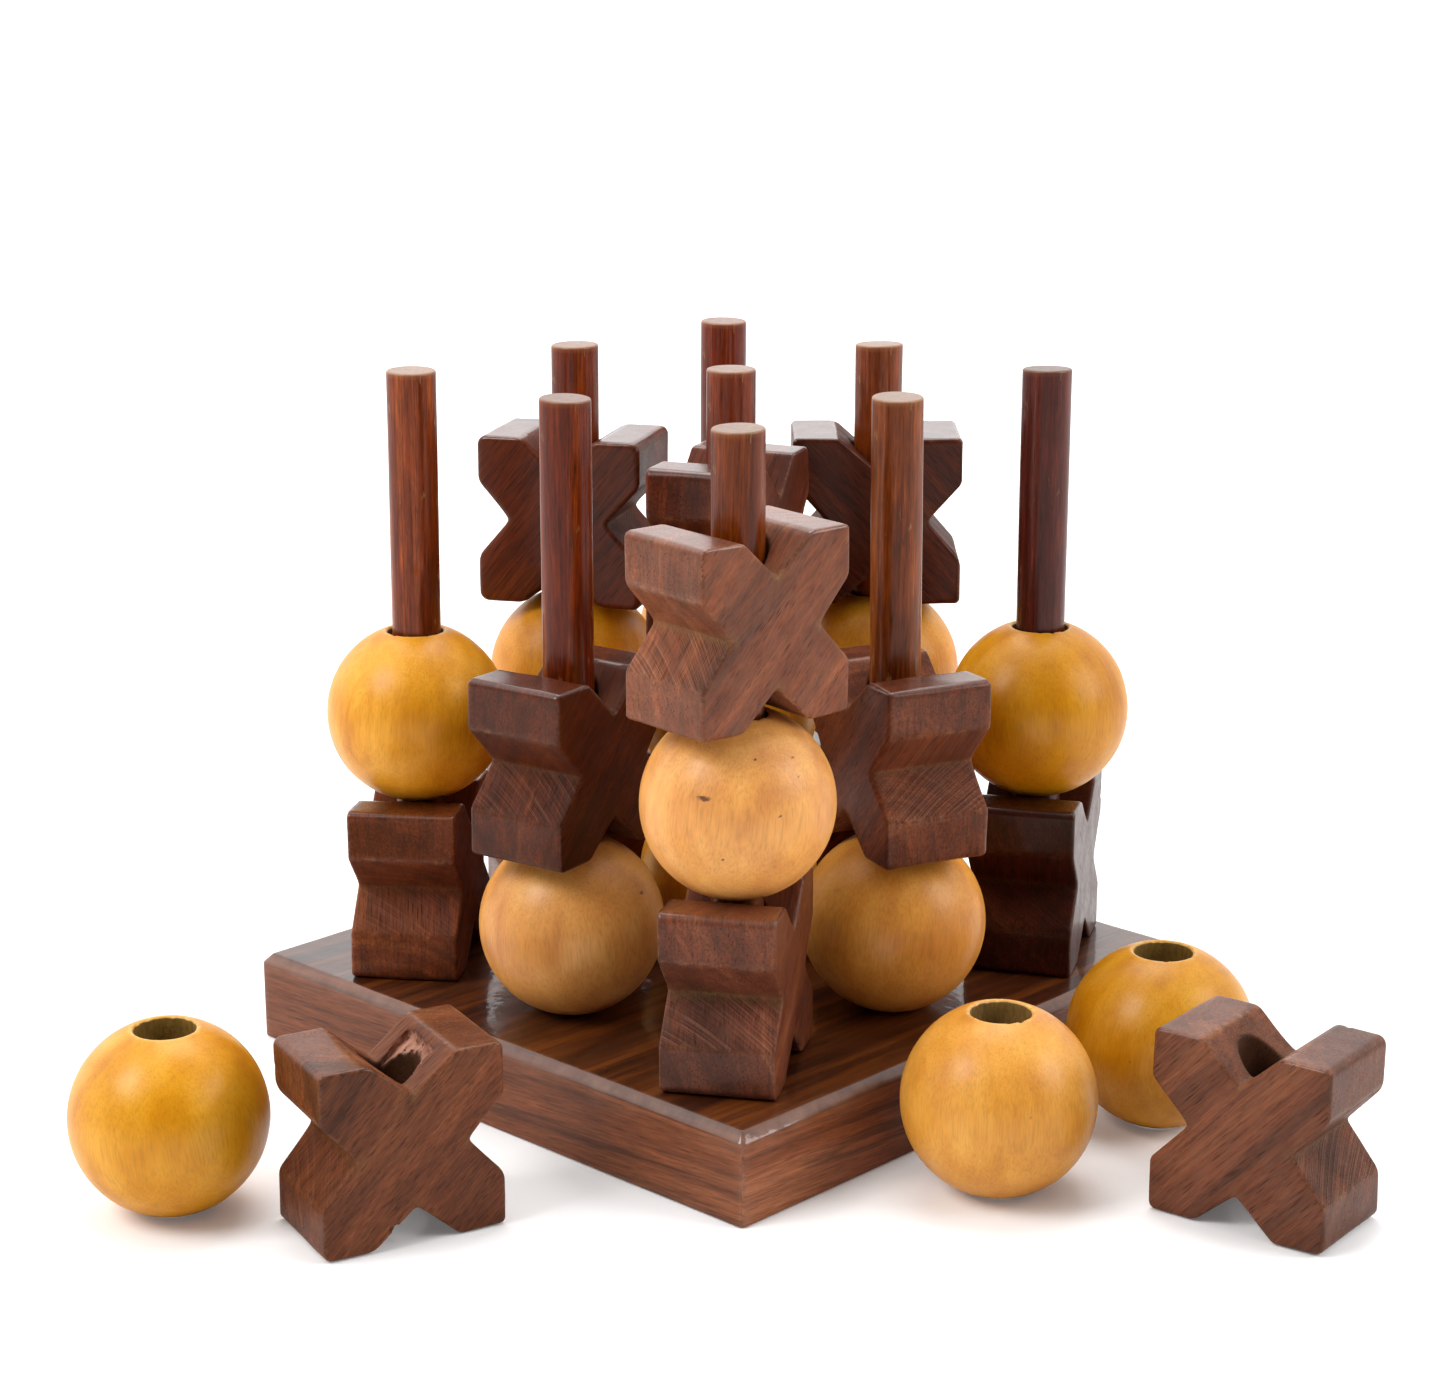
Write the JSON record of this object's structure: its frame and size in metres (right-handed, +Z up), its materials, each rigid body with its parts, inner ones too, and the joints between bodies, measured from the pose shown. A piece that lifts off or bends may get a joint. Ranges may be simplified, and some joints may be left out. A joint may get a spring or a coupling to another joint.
{
  "type": "tic tac toe set",
  "caption": "Wooden board with a grid of upright pegs; bored balls and notched X blocks drop over the pegs and stack for three-dimensional noughts and crosses.",
  "frame": {"origin": "centre of the board's underside, on the table plane", "axes": "+Z up along the pegs; X and Y along the board's edges, with the front corner of the board at +X, -Y"},
  "size_m": [0.2428, 0.2429, 0.155],
  "materials": {
    "board_wood": "glossy clear lacquer over dark red-brown rosewood with near-black streaks",
    "peg_wood": "satin red-brown dowel, long grain, pale end",
    "block_wood": "satin to matt brown rosewood, sawn notches, open end grain",
    "ball_wood": "satin golden-yellow fine-grained hardwood, turned and sanded",
    "ball_wood_pale": "satin pale cream to peach hardwood, turned and sanded"
  },
  "bodies": {
    "board": {"base_board": "board_wood", "peg_front": "peg_wood", "peg_front_left": "peg_wood", "peg_front_right": "peg_wood", "peg_left": "peg_wood", "peg_right": "peg_wood", "peg_centre": "peg_wood", "peg_back_left": "peg_wood", "peg_back_right": "peg_wood", "peg_back": "peg_wood"},
    "x_front_low": {"x_front_low": "block_wood"},
    "o_front_mid": {"o_front_mid": "ball_wood_pale"},
    "x_front_top": {"x_front_top": "block_wood"},
    "o_front_left_low": {"o_front_left_low": "ball_wood"},
    "x_front_left_mid": {"x_front_left_mid": "block_wood"},
    "o_front_right_low": {"o_front_right_low": "ball_wood"},
    "x_front_right_mid": {"x_front_right_mid": "block_wood"},
    "x_left_low": {"x_left_low": "block_wood"},
    "o_left_mid": {"o_left_mid": "ball_wood"},
    "x_right_low": {"x_right_low": "block_wood"},
    "o_right_mid": {"o_right_mid": "ball_wood"},
    "o_centre_low": {"o_centre_low": "ball_wood"},
    "o_centre_mid": {"o_centre_mid": "ball_wood"},
    "x_centre_top": {"x_centre_top": "block_wood"},
    "x_back_left_low": {"x_back_left_low": "block_wood"},
    "o_back_left_mid": {"o_back_left_mid": "ball_wood"},
    "x_back_left_top": {"x_back_left_top": "block_wood"},
    "x_back_right_low": {"x_back_right_low": "block_wood"},
    "o_back_right_mid": {"o_back_right_mid": "ball_wood"},
    "x_back_right_top": {"x_back_right_top": "block_wood"},
    "x_back_low": {"x_back_low": "block_wood"},
    "o_back_mid": {"o_back_mid": "ball_wood"},
    "o_loose_left": {"o_loose_left": "ball_wood"},
    "o_loose_front": {"o_loose_front": "ball_wood"},
    "o_loose_rear": {"o_loose_rear": "ball_wood"},
    "x_loose_left": {"x_loose_left": "block_wood"},
    "x_loose_right": {"x_loose_right": "block_wood"}
  },
  "joints": [
    {"name": "lift_x_front_low", "type": "slide", "parent": "board", "child": "x_front_low", "axis": [0, 0, 1], "range_m": [0, 0.138]},
    {"name": "lift_o_front_mid", "type": "slide", "parent": "x_front_low", "child": "o_front_mid", "axis": [0, 0, 1], "range_m": [0, 0.1]},
    {"name": "lift_x_front_top", "type": "slide", "parent": "o_front_mid", "child": "x_front_top", "axis": [0, 0, 1], "range_m": [0, 0.063]},
    {"name": "lift_o_front_left_low", "type": "slide", "parent": "board", "child": "o_front_left_low", "axis": [0, 0, 1], "range_m": [0, 0.138]},
    {"name": "lift_x_front_left_mid", "type": "slide", "parent": "o_front_left_low", "child": "x_front_left_mid", "axis": [0, 0, 1], "range_m": [0, 0.101]},
    {"name": "lift_o_front_right_low", "type": "slide", "parent": "board", "child": "o_front_right_low", "axis": [0, 0, 1], "range_m": [0, 0.138]},
    {"name": "lift_x_front_right_mid", "type": "slide", "parent": "o_front_right_low", "child": "x_front_right_mid", "axis": [0, 0, 1], "range_m": [0, 0.101]},
    {"name": "lift_x_left_low", "type": "slide", "parent": "board", "child": "x_left_low", "axis": [0, 0, 1], "range_m": [0, 0.138]},
    {"name": "lift_o_left_mid", "type": "slide", "parent": "x_left_low", "child": "o_left_mid", "axis": [0, 0, 1], "range_m": [0, 0.1]},
    {"name": "lift_x_right_low", "type": "slide", "parent": "board", "child": "x_right_low", "axis": [0, 0, 1], "range_m": [0, 0.138]},
    {"name": "lift_o_right_mid", "type": "slide", "parent": "x_right_low", "child": "o_right_mid", "axis": [0, 0, 1], "range_m": [0, 0.1]},
    {"name": "lift_o_centre_low", "type": "slide", "parent": "board", "child": "o_centre_low", "axis": [0, 0, 1], "range_m": [0, 0.138]},
    {"name": "lift_o_centre_mid", "type": "slide", "parent": "o_centre_low", "child": "o_centre_mid", "axis": [0, 0, 1], "range_m": [0, 0.1]},
    {"name": "lift_x_centre_top", "type": "slide", "parent": "o_centre_mid", "child": "x_centre_top", "axis": [0, 0, 1], "range_m": [0, 0.062]},
    {"name": "lift_x_back_left_low", "type": "slide", "parent": "board", "child": "x_back_left_low", "axis": [0, 0, 1], "range_m": [0, 0.138]},
    {"name": "lift_o_back_left_mid", "type": "slide", "parent": "x_back_left_low", "child": "o_back_left_mid", "axis": [0, 0, 1], "range_m": [0, 0.1]},
    {"name": "lift_x_back_left_top", "type": "slide", "parent": "o_back_left_mid", "child": "x_back_left_top", "axis": [0, 0, 1], "range_m": [0, 0.063]},
    {"name": "lift_x_back_right_low", "type": "slide", "parent": "board", "child": "x_back_right_low", "axis": [0, 0, 1], "range_m": [0, 0.138]},
    {"name": "lift_o_back_right_mid", "type": "slide", "parent": "x_back_right_low", "child": "o_back_right_mid", "axis": [0, 0, 1], "range_m": [0, 0.1]},
    {"name": "lift_x_back_right_top", "type": "slide", "parent": "o_back_right_mid", "child": "x_back_right_top", "axis": [0, 0, 1], "range_m": [0, 0.063]},
    {"name": "lift_x_back_low", "type": "slide", "parent": "board", "child": "x_back_low", "axis": [0, 0, 1], "range_m": [0, 0.138]},
    {"name": "lift_o_back_mid", "type": "slide", "parent": "x_back_low", "child": "o_back_mid", "axis": [0, 0, 1], "range_m": [0, 0.1]},
    {"name": "lift_o_loose_left", "type": "slide", "parent": "board", "child": "o_loose_left", "axis": [0, 0, 1], "range_m": [0, 0.16]},
    {"name": "lift_o_loose_front", "type": "slide", "parent": "board", "child": "o_loose_front", "axis": [0, 0, 1], "range_m": [0, 0.16]},
    {"name": "lift_o_loose_rear", "type": "slide", "parent": "board", "child": "o_loose_rear", "axis": [0, 0, 1], "range_m": [0, 0.16]},
    {"name": "lift_x_loose_left", "type": "slide", "parent": "board", "child": "x_loose_left", "axis": [0, 0, 1], "range_m": [0, 0.16]},
    {"name": "lift_x_loose_right", "type": "slide", "parent": "board", "child": "x_loose_right", "axis": [0, 0, 1], "range_m": [0, 0.16]}
  ]
}
